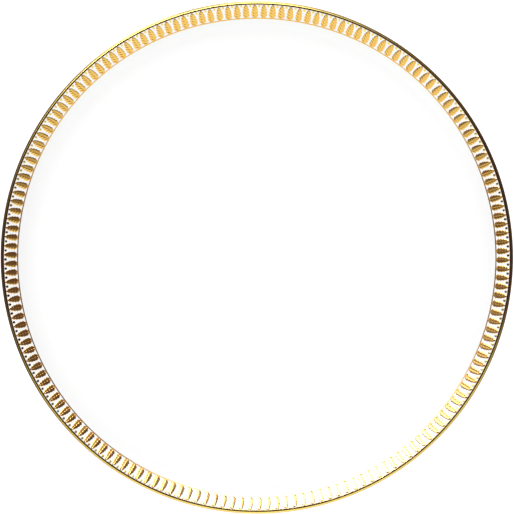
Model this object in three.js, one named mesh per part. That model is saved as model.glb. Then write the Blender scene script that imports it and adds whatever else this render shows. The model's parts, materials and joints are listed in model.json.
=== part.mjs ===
// A dinner plate of glazed white porcelain: a flat coupe with an upswept rim, a gilded lip
// and a band of gold leaves that stand on a gold hairline.
// Millimetres, +Z up. The origin is on the axis, in the plane that the foot ring stands on.
import * as THREE from "three";

// Driving dimensions
const PLATE_RADIUS = 135;
const FLOOR_RADIUS = 109; // the flat floor ends here
const SHOULDER_RADIUS = 124; // the curve around the floor ends here, at its full slope
const RIM_DEGREES = 35;
const RIM_SLOPE = THREE.MathUtils.degToRad(RIM_DEGREES);
const FLOOR_THICKNESS = 4.2;
const LIP_THICKNESS = 2.3;
const FOOT_RADIUS = 86; // to the middle of the foot ring
const FOOT_HEIGHT = 3.2; // from the table up to the underside of the floor
const FOOT_ROOT_WIDTH = 7; // where the foot ring joins the floor
const FOOT_EDGE_WIDTH = 2.6; // the ground edge that meets the table
const BARE_HEIGHT = 0.6; // the foot ring is wiped clean of glaze below this height
const GLAZE = 0.25; // thickness of the glaze
const LIP_GOLD = 0.12; // thickness of the gold on the lip
const RAISED_GOLD = 0.24; // thickness of the leaves and their hairline
const LEAVES = 174;
const LEAVES_PER_FACET = 3;
const LEAVES_PER_GROUP = 6;
const BAND_TURN = THREE.MathUtils.degToRad(-0.46); // from the +Y axis to the first leaf

// The leaf band, as radii on the face of the rim
const HAIRLINE_INNER = 125.85;
const HAIRLINE_OUTER = 126.35;
const LEAF_TIP = 132.9;

// The outline of a leaf: shares of its length from the base, each with its half width.
const LEAF_OUTLINE = [
  [0, 0.3],
  [0.08, 1.2],
  [0.24, 1.65],
  [0.65, 1.35],
  [0.9, 0.8],
];

// The lip in three arcs, from the face over the edge to the back. Each has the direction
// that its far end faces, in degrees up from the outward radius, and its radius.
const LIP_ARCS = [
  [65, 0.6],
  [40, 2.58],
  [RIM_DEGREES - 90, 0.86],
];

// The plate is turned in flat facets, so that whole leaves lie on each one.
const FACETS = LEAVES / LEAVES_PER_FACET;
const FACET_ANGLE = (2 * Math.PI) / FACETS;
const PITCH_ANGLE = (2 * Math.PI) / LEAVES;
const BAND_START = BAND_TURN - PITCH_ANGLE / 2; // the gap before the first leaf

const FLOOR_Z = FOOT_HEIGHT + FLOOR_THICKNESS;
const SHOULDER_CURVE = (SHOULDER_RADIUS - FLOOR_RADIUS) / Math.sin(RIM_SLOPE);

// The lip starts where its gold will just reach the plate's radius.
const LIP_START_R = PLATE_RADIUS - LIP_GOLD - lipOffset(0).r;

const materials = {
  bisque: new THREE.MeshStandardMaterial({ color: 0xe6e1d6, roughness: 0.8, metalness: 0 }),
  glaze: new THREE.MeshStandardMaterial({ color: 0xf8f8f6, roughness: 0.08, metalness: 0 }),
  brightGold: new THREE.MeshStandardMaterial({ color: 0xe8b84a, roughness: 0.15, metalness: 1 }),
  satinGold: new THREE.MeshStandardMaterial({ color: 0xe2ae48, roughness: 0.35, metalness: 1 }),
};

// Height of the glazed face at a radius: flat floor, curved shoulder, straight rim.
function faceHeight(r) {
  const curved = THREE.MathUtils.clamp(r, FLOOR_RADIUS, SHOULDER_RADIUS) - FLOOR_RADIUS;
  const straight = Math.max(r - SHOULDER_RADIUS, 0);
  const shoulderRise = SHOULDER_CURVE - Math.sqrt(SHOULDER_CURVE ** 2 - curved ** 2);
  return FLOOR_Z + shoulderRise + straight * Math.tan(RIM_SLOPE);
}

// Slope of the glazed face at a radius.
function faceSlope(r) {
  const curved = THREE.MathUtils.clamp(r, FLOOR_RADIUS, SHOULDER_RADIUS) - FLOOR_RADIUS;
  return Math.asin(curved / SHOULDER_CURVE);
}

// A point of the plate's glazed section, with the direction that the surface faces there:
// an angle up from the outward radius.
function sectionPoint(r, z, facing) {
  return { r, z, facing };
}

// A section point moved along the direction that it faces. The axis keeps its own points.
function moved({ r, z, facing }, distance) {
  const outward = r === 0 ? 0 : distance * Math.cos(facing);
  return new THREE.Vector2(r + outward, z + distance * Math.sin(facing));
}

// The face, from the axis out to the straight rim.
function faceSection() {
  const radii = [0, FLOOR_RADIUS, 114, 119, SHOULDER_RADIUS];
  return radii.map((r) => sectionPoint(r, faceHeight(r), Math.PI / 2 + faceSlope(r)));
}

// How far the lip has come from its start on the face, where it faces a direction.
function lipOffset(degrees) {
  const offset = new THREE.Vector2();
  let from = 90 + RIM_DEGREES;
  for (const [to, radius] of LIP_ARCS) {
    const [a, b] = [from, Math.max(to, degrees)].map(THREE.MathUtils.degToRad);
    offset.x += radius * (Math.cos(b) - Math.cos(a));
    offset.y += radius * (Math.sin(b) - Math.sin(a));
    if (degrees >= to) break;
    from = to;
  }
  return { r: offset.x, z: offset.y };
}

// The lip, from the face over the edge to the back. Gold covers all but the two ends.
function lipSection() {
  const directions = [90 + RIM_DEGREES, 118, 90, 65, 40, 0, -30, RIM_DEGREES - 90];
  return directions.map((degrees) => {
    const { r, z } = lipOffset(degrees);
    const facing = THREE.MathUtils.degToRad(degrees);
    return sectionPoint(LIP_START_R + r, faceHeight(LIP_START_R) + z, facing);
  });
}

// The back, from below the lip in to the flat of the floor. The wall thickens on the way.
function backSection() {
  const radii = [126, 119, 111, 104];
  const innermost = radii[radii.length - 1];
  return radii.map((r) => {
    const share = (LIP_START_R - r) / (LIP_START_R - innermost);
    const wall = THREE.MathUtils.lerp(LIP_THICKNESS, FLOOR_THICKNESS, share);
    const slope = faceSlope(r);
    return sectionPoint(r, faceHeight(r) - wall / Math.cos(slope), slope - Math.PI / 2);
  });
}

// One flank of the foot ring, from the floor down to where the glaze ends.
// The side is 1 for the outer flank and -1 for the inner one.
function footFlank(side) {
  const down = -Math.PI / 2;
  const root = FOOT_ROOT_WIDTH / 2;
  const edge = FOOT_EDGE_WIDTH / 2 + GLAZE;
  return [
    sectionPoint(FOOT_RADIUS + side * (root + 1.2), FOOT_HEIGHT, down),
    sectionPoint(FOOT_RADIUS + side * (root - 0.7), FOOT_HEIGHT - 0.8, down + side * (Math.PI / 3)),
    sectionPoint(FOOT_RADIUS + side * edge, BARE_HEIGHT, down + side * (Math.PI / 2)),
  ];
}

const outerSection = [...faceSection(), ...lipSection(), ...backSection(), ...footFlank(1)];
const recessSection = [sectionPoint(0, FOOT_HEIGHT, -Math.PI / 2), ...footFlank(-1)];

// Turns a closed outline about the plate's axis, with the facets in step with the leaves.
function turned(outline) {
  const outwards = THREE.ShapeUtils.area(outline) > 0 ? outline : [...outline].reverse();
  return new THREE.LatheGeometry(outwards, FACETS, Math.PI - BAND_START).rotateX(Math.PI / 2);
}

// A skin on a stretch of the section, from a depth below the glazed surface to a height
// above it. It closes on itself, or on the axis where the stretch starts there.
function skin(section, depth, height) {
  const outside = section.map((point) => moved(point, height));
  const inside = section.map((point) => moved(point, -depth)).reverse();
  const closing = section[0].r === 0 ? [] : [outside[0]];
  return turned([...outside, ...inside, ...closing]);
}

// The fired clay: floor, rim and foot ring in one piece. It shows only where the foot ring
// is bare.
function porcelainBody() {
  const underFace = outerSection.map((point) => moved(point, -GLAZE));
  const underRecess = recessSection.map((point) => moved(point, -GLAZE)).reverse();
  const halfEdge = FOOT_EDGE_WIDTH / 2;
  const groundEdge = [halfEdge, -halfEdge].map((side) => new THREE.Vector2(FOOT_RADIUS + side, 0));
  return turned([...underFace, ...groundEdge, ...underRecess]);
}

// A place on the glazed rim, for a distance along the band in leaves and a radius, raised
// off the glaze by a height. Between its corners, a facet lies nearer to the axis.
function onRim([along, radius], height) {
  const fromMiddle = ((along % LEAVES_PER_FACET) / LEAVES_PER_FACET - 0.5) * FACET_ANGLE;
  const chord = Math.cos(FACET_ANGLE / 2) / Math.cos(fromMiddle);
  const r = radius * chord - height * Math.sin(RIM_SLOPE);
  const turn = BAND_START + along * PITCH_ANGLE;
  const z = faceHeight(radius) + height * Math.cos(RIM_SLOPE);
  return [r * Math.sin(turn), r * Math.cos(turn), z];
}

// Raised gold on the rim: a flat sheet of triangles, given the gold's thickness and walled
// in along its open edges.
function raised(points, triangles) {
  const top = points.length;
  const corners = [0, RAISED_GOLD].flatMap((height) => points.map((p) => onRim(p, height)));
  const edges = new Set(triangles.flatMap(([a, b, c]) => [`${a} ${b}`, `${b} ${c}`, `${c} ${a}`]));
  const faces = triangles.flatMap(([a, b, c]) => [a + top, b + top, c + top, a, c, b]);
  for (const edge of edges) {
    const [a, b] = edge.split(" ").map(Number);
    if (!edges.has(`${b} ${a}`)) faces.push(a, b, b + top, a, b + top, a + top);
  }
  const geometry = new THREE.BufferGeometry();
  geometry.setAttribute("position", new THREE.Float32BufferAttribute(corners.flat(), 3));
  geometry.setIndex(faces);
  geometry.computeVertexNormals();
  return geometry;
}

// Leaves side by side, joined by the stretch of hairline that they stand on.
function leafGroup(firstLeaf) {
  const points = [];
  const triangles = [];
  const addPair = (a, b) => points.push(a, b) - 2;
  // The four corners of a cell: low left, high left, then low right, high right.
  const addCell = (left, right) =>
    triangles.push([left, right, right + 1], [left, right + 1, left + 1]);
  const halfAngle = (width, radius) => width / (radius * PITCH_ANGLE);

  const addHairline = (along) => {
    const pair = addPair([along, HAIRLINE_INNER], [along, HAIRLINE_OUTER]);
    if (pair > 0) addCell(pair - 2, pair);
    return pair;
  };
  const feet = [];
  addHairline(firstLeaf);
  for (let leaf = firstLeaf; leaf < firstLeaf + LEAVES_PER_GROUP; leaf++) {
    const foot = halfAngle(LEAF_OUTLINE[0][1], HAIRLINE_OUTER);
    const left = addHairline(leaf + 0.5 - foot);
    const right = addHairline(leaf + 0.5 + foot);
    feet.push([leaf, left + 1, right + 1]);
    if ((leaf + 1) % LEAVES_PER_FACET === 0) addHairline(leaf + 1);
  }

  for (const [leaf, leftFoot, rightFoot] of feet) {
    let [left, right] = [leftFoot, rightFoot];
    for (const [share, width] of LEAF_OUTLINE.slice(1)) {
      const radius = THREE.MathUtils.lerp(HAIRLINE_OUTER, LEAF_TIP, share);
      const half = halfAngle(width, radius);
      const next = addPair([leaf + 0.5 - half, radius], [leaf + 0.5 + half, radius]);
      triangles.push([left, right, next + 1], [left, next + 1, next]);
      [left, right] = [next, next + 1];
    }
    const tip = points.push([leaf + 0.5, LEAF_TIP]) - 1;
    triangles.push([left, right, tip]);
  }
  return raised(points, triangles);
}

const plate = new THREE.Group();

function add(name, geometry, material) {
  const mesh = new THREE.Mesh(geometry, material);
  mesh.name = name;
  plate.add(mesh);
}

add("porcelain_body", porcelainBody(), materials.bisque);
add("face_and_back_glaze", skin(outerSection, GLAZE, 0), materials.glaze);
add("foot_recess_glaze", skin(recessSection, GLAZE, 0), materials.glaze);
add("gold_lip_band", skin(lipSection().slice(1, -1), 0, LIP_GOLD), materials.brightGold);
for (let first = 0; first < LEAVES; first += LEAVES_PER_GROUP) {
  const number = String(first / LEAVES_PER_GROUP + 1).padStart(2, "0");
  add(`gold_leaves_${number}`, leafGroup(first), materials.satinGold);
}

export default plate;
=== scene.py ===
# %% [markdown]
# # A gilded china plate
# A plate like this is one fired piece. The potter turns the clay, coats it with glaze, wipes
# the foot ring bare and fires it. The decorator then lays raised gold on the glaze: leaves
# that stand on a hairline, a dot between every two leaves, and a band round the lip.
# The CAD model already holds each of those layers as a coarse solid in its right place, so
# this lesson loads it as a fixed frame and makes one fine piece for each layer.

# %% Load the frame
import json
import math
import random

import bpy
import numpy as np
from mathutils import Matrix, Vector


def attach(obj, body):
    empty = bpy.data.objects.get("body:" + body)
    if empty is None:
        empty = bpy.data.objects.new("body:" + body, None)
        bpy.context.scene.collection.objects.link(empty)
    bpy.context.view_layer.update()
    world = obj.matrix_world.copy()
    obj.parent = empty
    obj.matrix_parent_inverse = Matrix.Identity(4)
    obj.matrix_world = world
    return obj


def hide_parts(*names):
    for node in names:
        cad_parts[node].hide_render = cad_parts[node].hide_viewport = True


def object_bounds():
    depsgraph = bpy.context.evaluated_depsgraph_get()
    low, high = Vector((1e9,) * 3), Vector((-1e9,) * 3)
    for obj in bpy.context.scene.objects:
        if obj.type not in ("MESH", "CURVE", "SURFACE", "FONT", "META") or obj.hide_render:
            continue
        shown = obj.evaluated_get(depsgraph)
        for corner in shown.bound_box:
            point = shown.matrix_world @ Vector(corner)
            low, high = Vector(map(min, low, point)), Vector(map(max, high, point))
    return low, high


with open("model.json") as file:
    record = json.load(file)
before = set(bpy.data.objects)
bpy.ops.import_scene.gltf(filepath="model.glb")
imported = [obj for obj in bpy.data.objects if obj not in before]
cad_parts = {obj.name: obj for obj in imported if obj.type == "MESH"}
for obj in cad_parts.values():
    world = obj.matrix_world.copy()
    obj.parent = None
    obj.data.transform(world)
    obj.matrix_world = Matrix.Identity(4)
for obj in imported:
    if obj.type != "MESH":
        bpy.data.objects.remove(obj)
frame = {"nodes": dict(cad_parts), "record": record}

cad_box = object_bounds()
print("CAD box, in mm:", [round(v * 1000, 2) for corner in cad_box for v in corner])

# %% [markdown]
# Shapes are worked out in millimetres, because a potter's sizes are easy to read that way,
# and turned into metres when a mesh is made. The CAD plate has flat facets, so a round plate
# that stays inside its box is a little smaller than the facets' corners.

# %% The plate's sizes
MM = 0.001
low, high = cad_box
mounts = {mount["name"]: mount for mount in frame["record"]["mounts"]}

PLATE_RADIUS = min(high.x, high.y, -low.x, -low.y) / MM
FLOOR_Z = mounts["well_floor"]["pos_m"][2] / MM
FOOT_RADIUS = mounts["foot_rest"]["pos_m"][0] / MM
FLOOR_RADIUS = 109.0  # the flat floor ends here
SHOULDER_RADIUS = 124.0  # the curve ends here, at the rim's full slope
RIM_SLOPE = math.radians(35)
FLOOR_WALL = 4.2
LIP_WALL = 2.3
GLAZE = 0.25
LIP_GOLD = 0.10
FOOT_EDGE = 2.6  # width of the ground edge
BARE_HEIGHT = 0.6  # the foot is wiped clean of glaze below this height

UNDERSIDE_Z = FLOOR_Z - FLOOR_WALL
SHOULDER_CURVE = (SHOULDER_RADIUS - FLOOR_RADIUS) / math.sin(RIM_SLOPE)
print(f"plate {2 * PLATE_RADIUS:.2f} mm across, {high.z / MM:.2f} mm high")
print(f"floor at {FLOOR_Z:.2f} mm")

# %% [markdown]
# The section of a coupe plate is short to describe: a flat floor, an arc that lifts it, and a
# straight rim at its full slope. Two small functions give the height and the slope of the
# face at any radius. Everything else stands on them, the gold included, so the pieces meet
# without any fitting.

# %% Height and slope of the glazed face
def face_height(r):
    curved = np.clip(r, FLOOR_RADIUS, SHOULDER_RADIUS) - FLOOR_RADIUS
    lift = SHOULDER_CURVE - np.sqrt(SHOULDER_CURVE**2 - curved**2)
    return FLOOR_Z + lift + np.maximum(r - SHOULDER_RADIUS, 0) * math.tan(RIM_SLOPE)


def face_slope(r):
    curved = np.clip(r, FLOOR_RADIUS, SHOULDER_RADIUS) - FLOOR_RADIUS
    return np.arcsin(curved / SHOULDER_CURVE)


sample_radii = np.array([0, 115, 124, 130])
print("face height at radius 0, 115, 124 and 130:", face_height(sample_radii).round(2))

# %% [markdown]
# The lip turns off the rim tightly, rolls over a crest, faces outwards over most of its
# width, and is rounded under: five arcs. Going through them adds up how far the lip has come
# from its start, so a direction in degrees is enough to name any point of the lip.

# %% The lip's five arcs
LIP_FIRST = 90 + math.degrees(RIM_SLOPE)
LIP_LAST = LIP_FIRST - 180
LIP_ARCS = [(112, 0.15), (65, 0.95), (43, 0.7), (35, 8.21), (LIP_LAST, 0.53)]


def lip_offset(degrees):
    """How far across and up the lip has come from its start, where it faces a direction."""
    across, up = np.zeros_like(degrees, float), np.zeros_like(degrees, float)
    begin = LIP_FIRST
    for end, radius in LIP_ARCS:
        a = math.radians(begin)
        b = np.radians(np.clip(degrees, end, begin))
        across = across + radius * (np.cos(b) - math.cos(a))
        up = up + radius * (np.sin(b) - math.sin(a))
        begin = end
    return across, up


LIP_START_R = PLATE_RADIUS - LIP_GOLD - float(lip_offset(np.array(0.0))[0])
LIP_START_Z = float(face_height(LIP_START_R))
print(f"the lip starts at radius {LIP_START_R:.2f}, height {LIP_START_Z:.2f} mm")

# %% [markdown]
# Each stretch of the section is an array with three columns: radius, height, and the angle
# that the surface faces, measured up from the outward radius. Keeping the angle makes it
# easy to move a whole stretch in or out by the thickness of the glaze or the gold.

# %% The stretches of the section
def stretch(r, z, facing):
    r, z, facing = np.broadcast_arrays(r, z, facing)
    return np.stack([r, z, facing], axis=-1).astype(float)


def face_stretch():
    floor = [0, 30, 60, 85, 100]
    shoulder = np.linspace(FLOOR_RADIUS, SHOULDER_RADIUS, 25)
    rim = np.linspace(126, LIP_START_R, 5)
    r = np.concatenate([floor, shoulder, rim])
    return stretch(r, face_height(r), math.pi / 2 + face_slope(r))


def lip_stretch(first=LIP_FIRST, last=LIP_LAST, count=46):
    degrees = np.linspace(first, last, count)
    across, up = lip_offset(degrees)
    return stretch(LIP_START_R + across, LIP_START_Z + up, np.radians(degrees))


def back_stretch():
    flat_from, gap_below_lip = 104.0, 0.5
    r = np.linspace(LIP_START_R - gap_below_lip, flat_from, 30)
    share = (LIP_START_R - r) / (LIP_START_R - flat_from)
    wall = LIP_WALL + share * (FLOOR_WALL - LIP_WALL)
    slope = face_slope(r)
    return stretch(r, face_height(r) - wall / np.cos(slope), slope - math.pi / 2)


def foot_stretch(side):
    """One flank of the foot ring as a smooth curve from the floor down to the bare edge."""
    # The four control points of a cubic curve.
    reach = np.array([5.6, 2.9, 1.75, 1.55])
    drop = np.array([UNDERSIDE_Z, UNDERSIDE_Z, 2.2, BARE_HEIGHT])
    t = np.linspace(0, 1, 15)
    weights = np.stack([(1 - t)**3, 3 * t * (1 - t)**2, 3 * t**2 * (1 - t), t**3])
    across, z = reach @ weights, drop @ weights
    normal = np.arctan2(np.gradient(across), -np.gradient(z))
    facing = normal if side > 0 else math.pi - normal
    return stretch(FOOT_RADIUS + side * across, z, facing)


def moved(points, distance):
    """A stretch moved along the way it faces. The axis stays the axis."""
    r = points[:, 0] + distance * np.cos(points[:, 2])
    z = points[:, 1] + distance * np.sin(points[:, 2])
    return np.stack([np.where(points[:, 0] == 0, 0, r), z], axis=-1)


outer_run = np.concatenate([face_stretch(), lip_stretch(), back_stretch(), foot_stretch(1)])
recess_floor = stretch(np.array([0, 30, 60]), UNDERSIDE_Z, -math.pi / 2)
recess_run = np.concatenate([recess_floor, foot_stretch(-1)])
print(f"the glazed section has {len(outer_run)} points outside, {len(recess_run)} in the recess")

# %% [markdown]
# Turning is what the potter does, and here it is a loop: every point of a closed outline
# becomes a ring, and neighbouring rings are joined by quads. A point on the axis becomes one
# vertex. There are two segments for each leaf, so the facets are far too small to see. The
# wander argument lets a ring depart from a true circle, for edges drawn or wiped by hand.

# %% Turn an outline into a closed mesh
LEAVES = 174
PITCH = 2 * math.pi / LEAVES
SEGMENTS = 2 * LEAVES
ON_AXIS = 1e-9
ring_angles = np.arange(SEGMENTS) * 2 * math.pi / SEGMENTS


def mesh_piece(name, vertices, faces, material, crease=40):
    mesh = bpy.data.meshes.new(name)
    mesh.from_pydata([tuple(v) for v in np.asarray(vertices) * MM], [], faces)
    mesh.validate()
    mesh.shade_smooth()
    mesh.set_sharp_from_angle(angle=math.radians(crease))
    mesh.materials.append(material)
    piece = bpy.data.objects.new(name, mesh)
    bpy.context.scene.collection.objects.link(piece)
    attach(piece, "root")
    print(f"{name}: {len(mesh.vertices)} vertices, {len(mesh.polygons)} faces")
    return piece


def turned(name, outline, material, wander):
    outline = np.asarray(outline, float)
    r, z = outline[:, 0], outline[:, 1]
    area = np.sum(r * np.roll(z, -1) - np.roll(r, -1) * z) / 2
    if area < 0:
        outline = outline[::-1]
    vertices, rings = [], []
    for radius, height in outline:
        rings.append(len(vertices))
        if radius < ON_AXIS:
            vertices.append((0, 0, height))
            continue
        shift = wander(radius, height, ring_angles)
        rr, zz = radius + shift[0], height + shift[1]
        vertices.extend(zip(rr * np.sin(ring_angles), rr * np.cos(ring_angles), zz))
    faces = []
    for index, first in enumerate(rings):
        after = (index + 1) % len(rings)
        second = rings[after]
        on_axis = outline[index, 0] < ON_AXIS, outline[after, 0] < ON_AXIS
        if all(on_axis):
            continue
        for i in range(SEGMENTS):
            j = (i + 1) % SEGMENTS
            if on_axis[0]:
                faces.append((first, second + i, second + j))
            elif on_axis[1]:
                faces.append((first + j, first + i, second))
            else:
                faces.append((first + i, second + i, second + j, first + j))
    return mesh_piece(name, vertices, faces, material)


def hand_wander(angles, reach, seed, waves=(2, 3, 5, 9, 14)):
    """A small smooth departure, the same all the way through one stroke of the brush."""
    draw = random.Random(seed)
    total = sum(np.sin(n * angles + draw.uniform(0, 2 * math.pi)) / n**0.5 for n in waves)
    return reach * total / 2


print(f"a turned ring has {SEGMENTS} points")

# %% [markdown]
# ## Finishes
# Gold and glaze share two effects, so each is a node group with named sockets that is built
# once and placed wherever it is needed. Three small helpers keep the node trees short to
# read: one adds a node, one starts a group, and one places a group in a material.

# %% Helpers for node trees
def add_node(tree, kind, **settings):
    node = tree.nodes.new(kind)
    for name, value in settings.items():
        setattr(node, name, value)
    return node


def new_group(name, inputs, outputs):
    """An empty node group with float, vector or colour sockets and its two end nodes."""
    group = bpy.data.node_groups.new(name, "ShaderNodeTree")
    for label, kind, value in inputs:
        socket = group.interface.new_socket(label, in_out="INPUT", socket_type=kind)
        if value is not None:
            socket.default_value = value
    for label, kind in outputs:
        group.interface.new_socket(label, in_out="OUTPUT", socket_type=kind)
    return group, add_node(group, "NodeGroupInput"), add_node(group, "NodeGroupOutput")


def place_group(tree, group, coordinates, **values):
    node = add_node(tree, "ShaderNodeGroup", node_tree=group)
    tree.links.new(coordinates, node.inputs["Vector"])
    for label, value in values.items():
        node.inputs[label.replace("_", " ")].default_value = value
    return node


# %% [markdown]
# The first effect is fine kiln grit: rare, tiny specks that settle on any fired surface. It
# gives out a mask, and each material decides what a speck does to its own colour.

# %% Kiln grit
def make_kiln_grit():
    group, given, result = new_group(
        "kiln_grit",
        [("Vector", "NodeSocketVector", None), ("Spacing", "NodeSocketFloat", 120.0),
         ("Size", "NodeSocketFloat", 0.04), ("Share", "NodeSocketFloat", 0.1)],
        [("Mask", "NodeSocketFloat")],
    )
    cells = add_node(group, "ShaderNodeTexVoronoi", feature="F1")
    near = add_node(group, "ShaderNodeMath", operation="LESS_THAN")
    chosen = add_node(group, "ShaderNodeMath", operation="LESS_THAN")
    both = add_node(group, "ShaderNodeMath", operation="MULTIPLY")
    link = group.links.new
    link(given.outputs["Vector"], cells.inputs["Vector"])
    link(given.outputs["Spacing"], cells.inputs["Scale"])
    link(cells.outputs["Distance"], near.inputs[0])
    link(given.outputs["Size"], near.inputs[1])
    link(cells.outputs["Color"], chosen.inputs[0])
    link(given.outputs["Share"], chosen.inputs[1])
    link(near.outputs[0], both.inputs[0])
    link(chosen.outputs[0], both.inputs[1])
    link(both.outputs[0], result.inputs["Mask"])
    return group


kiln_grit = make_kiln_grit()
print(f"{kiln_grit.name}: {len(kiln_grit.nodes)} nodes")

# %% [markdown]
# The second effect is cloudiness: a slow drift between two colours and two roughnesses, as
# gold has where the brush left it thicker or the burnisher went over it twice, and as glaze
# has where it ran a little thicker. It gives out a colour, a roughness and a height.

# %% Cloudiness
def make_cloudiness():
    group, given, result = new_group(
        "cloudiness",
        [("Vector", "NodeSocketVector", None), ("Scale", "NodeSocketFloat", 200.0),
         ("Fine scale", "NodeSocketFloat", 2000.0),
         ("Light colour", "NodeSocketColor", (1, 1, 1, 1)),
         ("Deep colour", "NodeSocketColor", (1, 1, 1, 1)),
         ("Low roughness", "NodeSocketFloat", 0.1), ("High roughness", "NodeSocketFloat", 0.2)],
        [("Color", "NodeSocketColor"), ("Roughness", "NodeSocketFloat"),
         ("Height", "NodeSocketFloat")],
    )
    slow = add_node(group, "ShaderNodeTexNoise")
    fine = add_node(group, "ShaderNodeTexNoise")
    colours = add_node(group, "ShaderNodeMix", data_type="RGBA")
    spread = add_node(group, "ShaderNodeMapRange")
    slow.inputs["Detail"].default_value = 3
    fine.inputs["Detail"].default_value = 2
    link = group.links.new
    for noise, scale in ((slow, "Scale"), (fine, "Fine scale")):
        link(given.outputs["Vector"], noise.inputs["Vector"])
        link(given.outputs[scale], noise.inputs["Scale"])
    link(slow.outputs["Fac"], colours.inputs["Factor"])
    link(given.outputs["Light colour"], colours.inputs["A"])
    link(given.outputs["Deep colour"], colours.inputs["B"])
    link(fine.outputs["Fac"], spread.inputs["Value"])
    link(given.outputs["Low roughness"], spread.inputs["To Min"])
    link(given.outputs["High roughness"], spread.inputs["To Max"])
    link(colours.outputs["Result"], result.inputs["Color"])
    link(spread.outputs["Result"], result.inputs["Roughness"])
    link(fine.outputs["Fac"], result.inputs["Height"])
    return group


cloudiness = make_cloudiness()
print("shared effects:", [group.name for group in bpy.data.node_groups])

# %% [markdown]
# A finish is then a Principled shader with those groups wired into its colour, roughness and
# normal. Sizes in the texture are in metres, so a scale of 2000 means features of half a
# millimetre. Grit darkens the surface a little and dulls it.

# %% Make a finish
IOR = 1.5
ROUGHNESS_OF_GRIT = 0.3


def make_finish(name, light, deep, rough, scale, fine, bump, grit, metallic=0.0):
    """Grit is given as its spacing, size, share and tint, and bump in millimetres."""
    smoothest, roughest = rough
    spacing, size, share, grit_tint = grit
    material = bpy.data.materials.new(name)
    material.use_nodes = True
    tree = material.node_tree
    shader = tree.nodes["Principled BSDF"]
    shader.inputs["Metallic"].default_value = metallic
    shader.inputs["IOR"].default_value = IOR
    place = add_node(tree, "ShaderNodeTexCoord").outputs["Object"]
    clouds = place_group(
        tree, cloudiness, place, Scale=scale, Fine_scale=fine, Light_colour=(*light, 1),
        Deep_colour=(*deep, 1), Low_roughness=smoothest, High_roughness=roughest,
    )
    specks = place_group(tree, kiln_grit, place, Spacing=spacing, Size=size, Share=share)
    dirty = add_node(tree, "ShaderNodeMix", data_type="RGBA", blend_type="MULTIPLY")
    dirty.inputs["B"].default_value = (*grit_tint, 1)
    dull = add_node(tree, "ShaderNodeMath", operation="MULTIPLY_ADD", use_clamp=True)
    dull.inputs[1].default_value = ROUGHNESS_OF_GRIT
    relief = add_node(tree, "ShaderNodeBump")
    relief.inputs["Strength"].default_value = 1.0
    relief.inputs["Distance"].default_value = bump * MM
    link = tree.links.new
    link(specks.outputs["Mask"], dirty.inputs["Factor"])
    link(clouds.outputs["Color"], dirty.inputs["A"])
    link(dirty.outputs["Result"], shader.inputs["Base Color"])
    link(specks.outputs["Mask"], dull.inputs[0])
    link(clouds.outputs["Roughness"], dull.inputs[2])
    link(dull.outputs[0], shader.inputs["Roughness"])
    link(clouds.outputs["Height"], relief.inputs["Height"])
    link(relief.outputs["Normal"], shader.inputs["Normal"])
    print(f"finish {name}: roughness {smoothest} to {roughest}, metallic {metallic}")
    return material


# %% [markdown]
# White porcelain is a little short of pure white, cool under its clear glaze, and the glaze
# lies almost flat. The bare foot is warmer and matt, with a sandy grain where it was ground.

# %% Glaze and bare porcelain
glaze = make_finish(
    "clear_glaze", light=(0.872, 0.872, 0.868), deep=(0.860, 0.861, 0.858), rough=(0.05, 0.08),
    scale=14, fine=260, bump=0.012, grit=(150, 0.035, 0.02, (0.72, 0.69, 0.64)),
)
bisque = make_finish(
    "bare_porcelain", light=(0.80, 0.765, 0.70), deep=(0.70, 0.65, 0.57), rough=(0.62, 0.85),
    scale=60, fine=2600, bump=0.03, grit=(900, 0.16, 0.12, (0.55, 0.48, 0.40)),
)

# %% [markdown]
# Fired gold is never one colour: thin places lean to orange, thick ones to yellow. The lip is
# burnished, so it mirrors the room. The raised leaves are satin, with a grain of their own.

# %% The two golds
bright_gold = make_finish(
    "burnished_gold", light=(1.0, 0.66, 0.18), deep=(0.94, 0.55, 0.11), rough=(0.05, 0.09),
    scale=90, fine=1500, bump=0.004, grit=(700, 0.10, 0.05, (0.6, 0.5, 0.4)), metallic=1.0,
)
satin_gold = make_finish(
    "satin_gold", light=(1.0, 0.54, 0.155), deep=(0.93, 0.44, 0.11), rough=(0.11, 0.18),
    scale=420, fine=3000, bump=0.008, grit=(1200, 0.12, 0.06, (0.55, 0.42, 0.3)), metallic=0.93,
)

# %% [markdown]
# ## The porcelain
# The glaze over the face, the lip and the back is one skin that ends on the outside of the
# foot ring. It is turned as a closed outline: out along the glazed surface and back along
# the clay. The line where it was wiped off wanders a little, as a sponge leaves it.

# %% The glaze on the face and back
WIPE_WANDER, WIPE_FADE = 0.12, 0.6
FOOT_REACH, FOOT_TOP = 2.2, 1.5


def wiped_line(radius, height, angles):
    """Lifts and lowers the rings next to the foot's bare edge, and fades out above it."""
    near_edge = abs(radius - FOOT_RADIUS) < FOOT_REACH and height < FOOT_TOP
    fade = max(0.0, 1 - abs(height - BARE_HEIGHT) / WIPE_FADE) if near_edge else 0.0
    return np.stack([np.zeros_like(angles), fade * hand_wander(angles, WIPE_WANDER, seed=5)])


def glaze_skin(run):
    rolled_by = GLAZE * 0.4
    outside, inside = moved(run, 0), moved(run, -GLAZE)
    rolled_edge = (outside[-1] + inside[-1]) / 2 - np.array([0, rolled_by])
    return np.concatenate([outside, [rolled_edge], inside[::-1]])


face_glaze = turned("plate_glaze", glaze_skin(outer_run), glaze, wander=wiped_line)
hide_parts("face_and_back_glaze")

# %% [markdown]
# The recess inside the foot ring is glazed too, but its glaze is cut off from the rest by
# the bare ring, so it is a piece of its own.

# %% The glaze inside the foot ring
recess_glaze = turned("recess_glaze", glaze_skin(recess_run), glaze, wander=wiped_line)
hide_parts("foot_recess_glaze")

# %% [markdown]
# The clay fills the space between the skins. It shows only where the plate stands: the foot
# ring's edge is ground flat, with its corners just broken.

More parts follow.
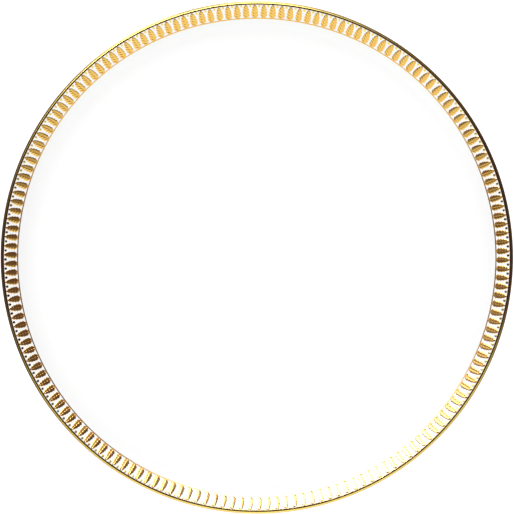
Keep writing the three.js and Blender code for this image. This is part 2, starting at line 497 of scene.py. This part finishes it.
# %% The fired clay
def body_outline():
    corner = 0.3
    outer, inner = FOOT_RADIUS + FOOT_EDGE / 2, FOOT_RADIUS - FOOT_EDGE / 2
    turns = np.linspace(0, math.pi / 2, 5)
    cut = [(corner * (1 - math.cos(a)), corner * (1 - math.sin(a))) for a in turns]
    round_out = [(outer - across, up) for across, up in cut]
    round_in = [(inner + across, up) for across, up in cut[::-1]]
    clay_outside, clay_recess = moved(outer_run, -GLAZE), moved(recess_run, -GLAZE)
    return np.concatenate([clay_outside, round_out, round_in, clay_recess[::-1]])


clay = turned("porcelain_clay", body_outline(), bisque, wander=wiped_line)
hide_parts("porcelain_body")

# %% [markdown]
# ## The gold
# The lip is banded last, on a wheel, with a loaded brush. The band wraps from just inside
# the lip over the edge and a little way under it, thinnest at its two edges. The inner edge
# wanders by a few hundredths of a millimetre, because a hand held the brush.

# %% The gold on the lip
BAND_LAST = -42  # the direction that its edge under the lip faces
THIN_END = 0.12
GOLD_SUNK = 0.02
LINE_WANDER, LINE_FADE, LINE_DEPTH = 0.05, 0.3, 0.5


def lip_band_outline():
    base = lip_stretch(LIP_FIRST, BAND_LAST, 43)
    r, z, facing = base.T
    thickness = LIP_GOLD * np.sin(np.linspace(THIN_END, math.pi - THIN_END, len(base)))**0.5
    outside = np.stack([r + thickness * np.cos(facing), z + thickness * np.sin(facing)], axis=-1)
    return np.concatenate([outside, moved(base, -GOLD_SUNK)[::-1]])


def lining_hand(radius, height, angles):
    """Moves the rings at the inner edge of the gold in and out, and leaves the others."""
    on_face = height > LIP_START_Z - LINE_DEPTH
    fade = max(0.0, 1 - abs(radius - LIP_START_R) / LINE_FADE) if on_face else 0.0
    inward = fade * hand_wander(angles, LINE_WANDER, seed=11, waves=(7, 11, 19, 31, 47))
    return np.stack([inward, inward * 0.3])


lip_band = turned("lip_band", lip_band_outline(), bright_gold, wander=lining_hand)
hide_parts("gold_lip_band")

# %% [markdown]
# Anything on the rim is drawn flat first: a distance across, in millimetres, a radius, and a
# height off the glaze. One function then lays it on the cone of the rim at a given turn.

# %% Lay a drawing on the rim
BAND_TURN = math.radians(-0.46)


def on_rim(turn, across, radius, height):
    across, radius, height = np.broadcast_arrays(across, radius, height)
    angle = turn + across / radius
    r = radius - height * math.sin(RIM_SLOPE)
    z = face_height(radius) + height * math.cos(RIM_SLOPE)
    return np.stack([r * np.sin(angle), r * np.cos(angle), z], axis=-1)


print("the first leaf's turn from the far side, in degrees:", round(math.degrees(BAND_TURN), 2))

# %% [markdown]
# A leaf is built up in paste before it is gilded. Its outline starts in a short stalk, swells
# to its full width within the first quarter, and narrows to a tip whose neck runs on to the
# lip, with a scallop for each leaflet. Its surface is a low pillow of leaflets that slant from
# the midrib towards the tip. On the right they are hardly raised. On the left they overlap
# like shingles, so their tilted faces mirror another part of the room and that half reads
# darker wherever that part is dark.

# %% The shape of a leaf
STALK_FOOT, LEAF_BASE, LEAF_TIP, NECK_END = 126.05, 126.35, 132.95, 133.15
LEAF_HALF_WIDTH = 1.78
WIDEST_AT = 0.23
STALK_HALF_WIDTH = 0.2
FIRST_GROOVE, GROOVE_PITCH, GROOVE_SLANT = 127.1, 1.38, 0.88
TIP_TAPER, SCALLOP_DEPTH, SCALLOP_AT = 0.06, 0.07, 0.85
PILLOW_HEIGHT, LEFT_EDGE_POWER, RIGHT_EDGE_POWER = 0.15, 5, 6
RIB_HALF_WIDTH, FULL_RELIEF_FROM = 0.3, 1.2
LEAFLET_HEIGHT, SHINGLE_CREST = 0.03, 0.82
SHINGLE_ACROSS = [-1.6, -1.2, -0.75, -0.15, 0.05]
SHINGLE_HEIGHT = [0.02, 0.06, 0.16, 0.17, 0.0]


def groove_phase(radius, across):
    """Counts leaflets along the leaf: whole numbers lie in the grooves between them."""
    return (radius - FIRST_GROOVE - GROOVE_SLANT * np.abs(across)) / GROOVE_PITCH


def leaf_half_width(radius):
    share = np.clip((radius - LEAF_BASE) / (LEAF_TIP - LEAF_BASE), 0, 1)
    toward_base = np.clip((WIDEST_AT - share) / WIDEST_AT, 0, 1)
    toward_tip = np.clip((share - WIDEST_AT) / (1 - WIDEST_AT), 0, 1)
    body = np.sqrt(1 - toward_base**2) * np.sqrt(1 - toward_tip**2.2) * (1 - TIP_TAPER * toward_tip)
    leaflets = groove_phase(radius, SCALLOP_AT * LEAF_HALF_WIDTH)
    scallop = 1 - SCALLOP_DEPTH * np.cos(2 * math.pi * leaflets)
    return np.maximum(LEAF_HALF_WIDTH * body * scallop, STALK_HALF_WIDTH)


def leaf_height(radius, side, half):
    """Height of the paste. Side runs from -1 to 1 across the leaf, half is its half width."""
    across = side * half
    phase = groove_phase(radius, across) % 1
    edge_power = np.where(side < 0, LEFT_EDGE_POWER, RIGHT_EDGE_POWER)
    pillow = PILLOW_HEIGHT * (1 - np.abs(side) ** edge_power)
    leaflet = LEAFLET_HEIGHT * np.sin(math.pi * phase) * np.clip(across / RIB_HALF_WIDTH, 0, 1)
    tilt = np.interp(phase, [0, SHINGLE_CREST, 1], [0, 1, 0])
    shingle = tilt * np.interp(across, SHINGLE_ACROSS, SHINGLE_HEIGHT)
    narrow = np.minimum(half / FULL_RELIEF_FROM, 1)
    return (pillow + (leaflet + shingle) * (1 - side**6)) * narrow


ROWS = 60
row_share = np.linspace(0, 1, ROWS + 1)
LEAF_ROWS = row_share - 0.5 * np.sin(2 * math.pi * row_share) / (2 * math.pi)
LEAF_SIDES = np.concatenate(
    [np.linspace(-1, -0.45, 7), np.linspace(-0.38, 0.1, 9), np.linspace(0.22, 1, 8)]
)
COLUMNS = len(LEAF_SIDES) - 1
print(f"a leaf is {LEAF_TIP - LEAF_BASE:.2f} mm long and {2 * LEAF_HALF_WIDTH:.2f} mm wide")

# %% [markdown]
# A leaf is a closed shell: a grid on top, walls that run down into the glaze, and a floor.
# The outline, the height and the place of each leaf get a little seeded variation, because
# paste laid by hand is never quite the same twice.

# %% Build one leaf
SUNK = -0.03  # every shell reaches this far into the glaze


def leaf_shell(turn, draw):
    """Vertices and faces of one leaf at a turn round the rim."""
    widen_by, lift_by = draw.uniform(0.97, 1.03), draw.uniform(0.9, 1.1)
    lean, nudge = draw.uniform(-0.012, 0.012), draw.uniform(-0.04, 0.04)
    radius = (STALK_FOOT + LEAF_ROWS * (NECK_END - STALK_FOOT))[:, None]
    half = leaf_half_width(radius + nudge) * widen_by
    across = LEAF_SIDES[None, :] * half + lean * (radius - LEAF_BASE)
    height = leaf_height(radius + nudge, LEAF_SIDES[None, :], half) * lift_by
    top = on_rim(turn, across, radius, height)
    under = on_rim(turn, across[:, [0, -1]], radius, SUNK)
    vertices = np.concatenate([top.reshape(-1, 3), under.reshape(-1, 3)])

    width = COLUMNS + 1
    under_at = (ROWS + 1) * width
    faces = []
    for i in range(ROWS):
        a, b = i * width, (i + 1) * width
        faces.extend((a + j, a + j + 1, b + j + 1, b + j) for j in range(COLUMNS))
        left, right = under_at + 2 * i, under_at + 2 * i + 1
        faces.append((a, b, left + 2, left))
        faces.append((b + COLUMNS, a + COLUMNS, right, right + 2))
        faces.append((left, left + 2, right + 2, right))
    last = ROWS * width
    faces.append((under_at, under_at + 1, *range(COLUMNS, -1, -1)))
    end = under_at + 2 * ROWS
    faces.append((end + 1, end, *range(last, last + width)))
    return vertices, faces


print(f"the grid of a leaf has {ROWS} rows and {COLUMNS} columns")

# %% [markdown]
# The hairline is one thin bead of gold. It is cut where the leaf groups meet, so each
# group's stretch of it can be made with the group's own leaves.

# %% Build a stretch of hairline
HAIRLINE_RADIUS, HAIRLINE_WIDTH, HAIRLINE_HEIGHT = 126.1, 0.58, 0.03


def hairline_shell(first_turn, last_turn, steps):
    turns = np.linspace(first_turn, last_turn, steps + 1)
    bow = np.linspace(0, math.pi, 7)
    radius = HAIRLINE_RADIUS - HAIRLINE_WIDTH / 2 * np.cos(bow)
    height = HAIRLINE_HEIGHT * np.sin(bow)
    radius = np.concatenate([radius, [radius[-1], radius[0]]])
    height = np.concatenate([height, [SUNK, SUNK]])
    count = len(radius)
    vertices = np.concatenate([on_rim(turn, 0.0, radius, height) for turn in turns])
    faces = [tuple(range(count - 1, -1, -1)), tuple(range(steps * count, (steps + 1) * count))]
    for i in range(steps):
        a, b = i * count, (i + 1) * count
        for j in range(count):
            k = (j + 1) % count
            faces.append((a + j, a + k, b + k, b + j))
    return vertices, faces


def joined(shells):
    """Several closed shells as the vertices and faces of one mesh."""
    vertices, faces, start = [], [], 0
    for shell_vertices, shell_faces in shells:
        vertices.append(shell_vertices)
        faces.extend(tuple(start + i for i in face) for face in shell_faces)
        start += len(shell_vertices)
    return np.concatenate(vertices), faces


print(f"the hairline is {HAIRLINE_WIDTH} mm wide, at radius {HAIRLINE_RADIUS} mm")

# %% [markdown]
# The CAD model has one node for every six leaves, so the fine leaves are grouped the same
# way: each group is one piece and stands for its own node.

# %% The band of leaves
leaf_nodes = sorted(name for name in frame["nodes"] if name.startswith("gold_leaves_"))
LEAVES_PER_GROUP = LEAVES // len(leaf_nodes)
STEPS_PER_LEAF = 3  # of the hairline
GOLD_CREASE = 60
draw = random.Random(174)
for index, node in enumerate(leaf_nodes):
    first = index * LEAVES_PER_GROUP
    turns = [BAND_TURN + (first + i) * PITCH for i in range(LEAVES_PER_GROUP)]
    shells = [leaf_shell(turn, draw) for turn in turns]
    start = turns[0] - PITCH / 2
    end = start + LEAVES_PER_GROUP * PITCH
    shells.append(hairline_shell(start, end, STEPS_PER_LEAF * LEAVES_PER_GROUP))
    name = node.replace("gold_leaves", "leaf_group")
    leaves = mesh_piece(name, *joined(shells), satin_gold, crease=GOLD_CREASE)
    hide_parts(node)

# %% [markdown]
# Between every two tips sits a dot: a bead of paste that slumped into a dome. A dome is
# turned like the plate, only smaller, and laid on the rim point by point.

# %% The ring of dots
DOT_RADIUS, DOT_HEIGHT, DOT_AT = 0.68, 0.05, 132.25
DOT_SPOKES = 18
DOT_RINGS = np.array([1.0, 1.0, 0.88, 0.7, 0.5, 0.26])  # the first is the foot of its wall


def dot_shell(turn, draw):
    size = DOT_RADIUS * draw.uniform(0.93, 1.05)
    rise = 1 - DOT_RINGS**2
    count = DOT_SPOKES
    spin = np.arange(count) * 2 * math.pi / count
    vertices = []
    for level, (up, out) in enumerate(zip(rise, DOT_RINGS)):
        height = SUNK if level == 0 else up * DOT_HEIGHT
        across, radius = out * size * np.cos(spin), DOT_AT + out * size * np.sin(spin)
        vertices.append(on_rim(turn, across, radius, height))
    vertices.append(on_rim(turn, np.zeros(1), np.full(1, DOT_AT), DOT_HEIGHT))
    faces = [tuple(range(count - 1, -1, -1))]
    for level in range(len(rise) - 1):
        a, b = level * count, (level + 1) * count
        for i in range(count):
            j = (i + 1) % count
            faces.append((a + i, a + j, b + j, b + i))
    crown = (len(rise) - 1) * count
    faces.extend((crown + i, crown + (i + 1) % count, crown + count) for i in range(count))
    return np.concatenate(vertices), faces


dot_turns = [BAND_TURN + (i + 0.5) * PITCH for i in range(LEAVES)]
dot_shells = [dot_shell(turn, draw) for turn in dot_turns]
dots = mesh_piece("dot_ring", *joined(dot_shells), bright_gold, crease=GOLD_CREASE)

# %% [markdown]
# ## The studio
# The plate lies on a table of white acrylic that is lit from below, which is how a studio
# gets a white ground with hardly any shadow. It looks brighter than the light it gives, so
# the back of the plate keeps some shade, and it is clear from below, to show the foot. The
# table is only a stage: it isn't part of the object and stays out of the reflections.

# %% The table
def make_table(half=3.0, glow_seen=1.0, glow_given=0.4):
    below, grey = -0.1 * MM, 0.35
    mesh = bpy.data.meshes.new("table")
    corners = [(-half, -half), (half, -half), (half, half), (-half, half)]
    mesh.from_pydata([(x, y, below) for x, y in corners], [], [(0, 1, 2, 3)])
    material = bpy.data.materials.new("white_table")
    material.use_nodes = True
    tree = material.node_tree
    shader = tree.nodes["Principled BSDF"]
    shader.inputs["Base Color"].default_value = (grey, grey, grey, 1)
    shader.inputs["Roughness"].default_value = 1.0
    shader.inputs["Specular IOR Level"].default_value = 0.0
    shader.inputs["Emission Color"].default_value = (1, 1, 1, 1)
    ray = add_node(tree, "ShaderNodeLightPath")
    glow = add_node(tree, "ShaderNodeMapRange")
    glow.inputs["To Min"].default_value = glow_given
    glow.inputs["To Max"].default_value = glow_seen
    clear_from_below = add_node(tree, "ShaderNodeMixShader")
    link = tree.links.new
    link(ray.outputs["Is Camera Ray"], glow.inputs["Value"])
    link(glow.outputs["Result"], shader.inputs["Emission Strength"])
    geometry = add_node(tree, "ShaderNodeNewGeometry")
    clear = add_node(tree, "ShaderNodeBsdfTransparent")
    surface = tree.nodes["Material Output"].inputs["Surface"]
    link(geometry.outputs["Backfacing"], clear_from_below.inputs["Fac"])
    link(shader.outputs["BSDF"], clear_from_below.inputs[1])
    link(clear.outputs["BSDF"], clear_from_below.inputs[2])
    link(clear_from_below.outputs["Shader"], surface)
    mesh.materials.append(material)
    table = bpy.data.objects.new("table", mesh)
    bpy.context.scene.collection.objects.link(table)
    table.visible_glossy = False
    print(f"the table is {2 * half} m square")


make_table()

# %% [markdown]
# Shiny tableware is lit twice. A white dome and two broad lamps give the even white of the
# porcelain, and they are kept out of the reflections. What the gold mirrors is the room: a
# softbox beyond the far edge of the plate, a pale wall on the near side, the lit table
# around, and darkness to the left, to the right and round the camera overhead.

# %% The soft lamps
def soft_lamp(name, place, size, power):
    light = bpy.data.lights.new(name, "AREA")
    light.shape = "DISK"
    light.size = size
    light.energy = power
    lamp = bpy.data.objects.new(name, light)
    bpy.context.scene.collection.objects.link(lamp)
    lamp.location = place
    aim = -lamp.location
    lamp.rotation_euler = aim.to_track_quat("-Z", "Y").to_euler()
    lamp.visible_glossy = False
    lamp.visible_camera = False
    print(f"{name}: {power} W, {size} m across")


soft_lamp("overhead_lamp", place=(0, 0.05, 1.6), size=6.0, power=36)
soft_lamp("far_left_lamp", place=(-1.1, 1.3, 1.5), size=1.2, power=6)

# %% [markdown]
# The dome and the room are one world shader, which answers a diffuse ray with the dome and a
# reflected ray with the room. Each light in the room is a compass ramp times a height ramp:
# its brightness at degrees from the far side, and at degrees above the horizon. A strength
# and a tint go with the two.

# %% The lights of the room
ROOM = {
    "softbox": (
        [(-95, 0.0), (-85, 0.006), (-75, 0.025), (-66, 0.08), (-58, 0.18), (-50, 0.35), (-42, 0.7),
         (-34, 1.0), (6, 1.0), (13, 0.5), (20, 0.24), (27, 0.12), (34, 0.06), (42, 0.035),
         (52, 0.012), (62, 0.0)],
        [(9, 0.0), (14, 1.0), (27, 1.0), (33, 0.0)],
        10.0, (1.0, 1.2, 1.4),
    ),
    "near_wall": (
        [(-180, 1.0), (-135, 0.97), (-122, 0.75), (-112, 0.3), (-102, 0.06), (-95, 0.0), (98, 0.0),
         (106, 0.2), (116, 0.6), (125, 0.87), (140, 1.0), (180, 1.0)],
        [(-6, 0.0), (-2, 1.0), (12, 1.0), (18, 0.9), (34, 0.8), (40, 0.08), (60, 0.04), (66, 0.0)],
        1.05, (1.0, 1.28, 1.1),
    ),
    "lit_table": (
        [(-180, 0.7), (-150, 0.6), (-135, 0.38), (-122, 0.12), (-112, 0.03), (-80, 0.03),
         (-62, 0.05), (-50, 0.12), (-40, 0.35), (-30, 1.0), (-22, 0.9), (-15, 0.4), (-8, 0.6),
         (0, 1.0), (8, 0.7), (15, 0.3), (30, 0.08), (45, 0.04), (60, 0.02), (100, 0.02),
         (112, 0.12), (120, 0.33), (135, 0.5), (150, 0.6), (180, 0.7)],
        [(-90, 0.1), (-34, 0.1), (-24, 0.9), (-8, 1.0), (-3, 0.0)],
        1.6, (1.0, 1.2, 1.6),
    ),
}
DARK_ROOM = (0.045, 0.03, 0.06)
DOME = [(-8, 0.0), (2, 0.5), (30, 0.81), (60, 0.95)]
print("lights in the room:", ", ".join(ROOM))

# %% [markdown]
# A ramp reads a position from 0 to 1, so compass degrees are spread evenly over it, and
# degrees above the horizon are turned into the upward part of the direction first. The
# lights are added up, one after another, on top of the colour of the dark room.

# %% Build the room
def add_ramp(tree, stops):
    """A grey ramp through stops of position and brightness."""
    ramp = add_node(tree, "ShaderNodeValToRGB")
    elements = ramp.color_ramp.elements
    while len(elements) < len(stops):
        elements.new(0.5)
    for element, (position, value) in zip(elements, stops):
        element.position = position
        element.color = (value, value, value, 1)
    return ramp


def compass_ramp(tree, stops):
    return add_ramp(tree, [((angle + 180) / 360, value) for angle, value in stops])


def height_ramp(tree, stops):
    """Stops in degrees above the horizon, read off the upward part of the direction."""
    upward = [(math.sin(math.radians(angle)), value) for angle, value in stops]
    return add_ramp(tree, [((up + 1) / 2, value) for up, value in upward])


def make_room():
    world = bpy.data.worlds.new("room")
    bpy.context.scene.world = world
    world.use_nodes = True
    world.cycles.sampling_method = "NONE"
    tree = world.node_tree
    link = tree.links.new
    background = tree.nodes["Background"]
    direction = add_node(tree, "ShaderNodeTexCoord").outputs["Generated"]
    parts = add_node(tree, "ShaderNodeSeparateXYZ")
    compass = add_node(tree, "ShaderNodeMath", operation="ARCTAN2")
    around = add_node(tree, "ShaderNodeMapRange")
    around.inputs["From Min"].default_value = -math.pi
    around.inputs["From Max"].default_value = math.pi
    upward = add_node(tree, "ShaderNodeMapRange")
    upward.inputs["From Min"].default_value = -1
    link(direction, parts.inputs[0])
    link(parts.outputs["X"], compass.inputs[0])
    link(parts.outputs["Y"], compass.inputs[1])
    link(compass.outputs[0], around.inputs["Value"])
    link(parts.outputs["Z"], upward.inputs["Value"])

    def switched(a, b, switch):
        node = add_node(tree, "ShaderNodeMix", data_type="RGBA")
        link(a, node.inputs["A"])
        link(b, node.inputs["B"])
        link(switch, node.inputs["Factor"])
        return node.outputs["Result"]

    total = None
    for stops, heights, strength, tint in ROOM.values():
        bright, tall = compass_ramp(tree, stops), height_ramp(tree, heights)
        both = add_node(tree, "ShaderNodeMath", operation="MULTIPLY")
        coloured = add_node(tree, "ShaderNodeVectorMath", operation="MULTIPLY_ADD")
        link(around.outputs["Result"], bright.inputs["Fac"])
        link(upward.outputs["Result"], tall.inputs["Fac"])
        link(bright.outputs["Color"], both.inputs[0])
        link(tall.outputs["Color"], both.inputs[1])
        link(both.outputs[0], coloured.inputs[0])
        coloured.inputs[1].default_value = [strength * value for value in tint]
        if total is None:
            coloured.inputs[2].default_value = DARK_ROOM
        else:
            link(total, coloured.inputs[2])
        total = coloured.outputs[0]
    ray = add_node(tree, "ShaderNodeLightPath")
    dome = height_ramp(tree, DOME)
    white = add_node(tree, "ShaderNodeRGB").outputs[0]
    white.default_value = (1, 1, 1, 1)
    link(upward.outputs["Result"], dome.inputs["Fac"])
    lit = switched(total, dome.outputs["Color"], ray.outputs["Is Diffuse Ray"])
    link(switched(lit, white, ray.outputs["Is Camera Ray"]), background.inputs["Color"])
    print(f"the room's shader has {len(tree.nodes)} nodes")


make_room()

# %% [markdown]
# The camera looks straight down, from far enough for the plate to look flat, and the plate
# just fills the square frame. The Standard view keeps whites white and gold saturated.

# %% The camera
MARGIN = 1.002
OFF_AXIS = (0.1, 0.25)  # in millimetres: the plate sits a hair off the middle of the frame


def make_camera(lens=300.0, sensor=36.0):
    camera = bpy.data.cameras.new("camera")
    camera.lens = lens
    camera.sensor_width = sensor
    viewer = bpy.data.objects.new("camera", camera)
    bpy.context.scene.collection.objects.link(viewer)
    half_frame = PLATE_RADIUS * MM * MARGIN
    distance = half_frame / (sensor / 2 / lens)
    viewer.location = (OFF_AXIS[0] * MM, OFF_AXIS[1] * MM, LIP_START_Z * MM + distance)
    camera.clip_start, camera.clip_end = 0.01, 20
    bpy.context.scene.camera = viewer
    print(f"the camera is {distance:.3f} m above the lip")


make_camera()
bpy.context.scene.view_settings.view_transform = "Standard"
bpy.context.scene.cycles.use_denoising = True
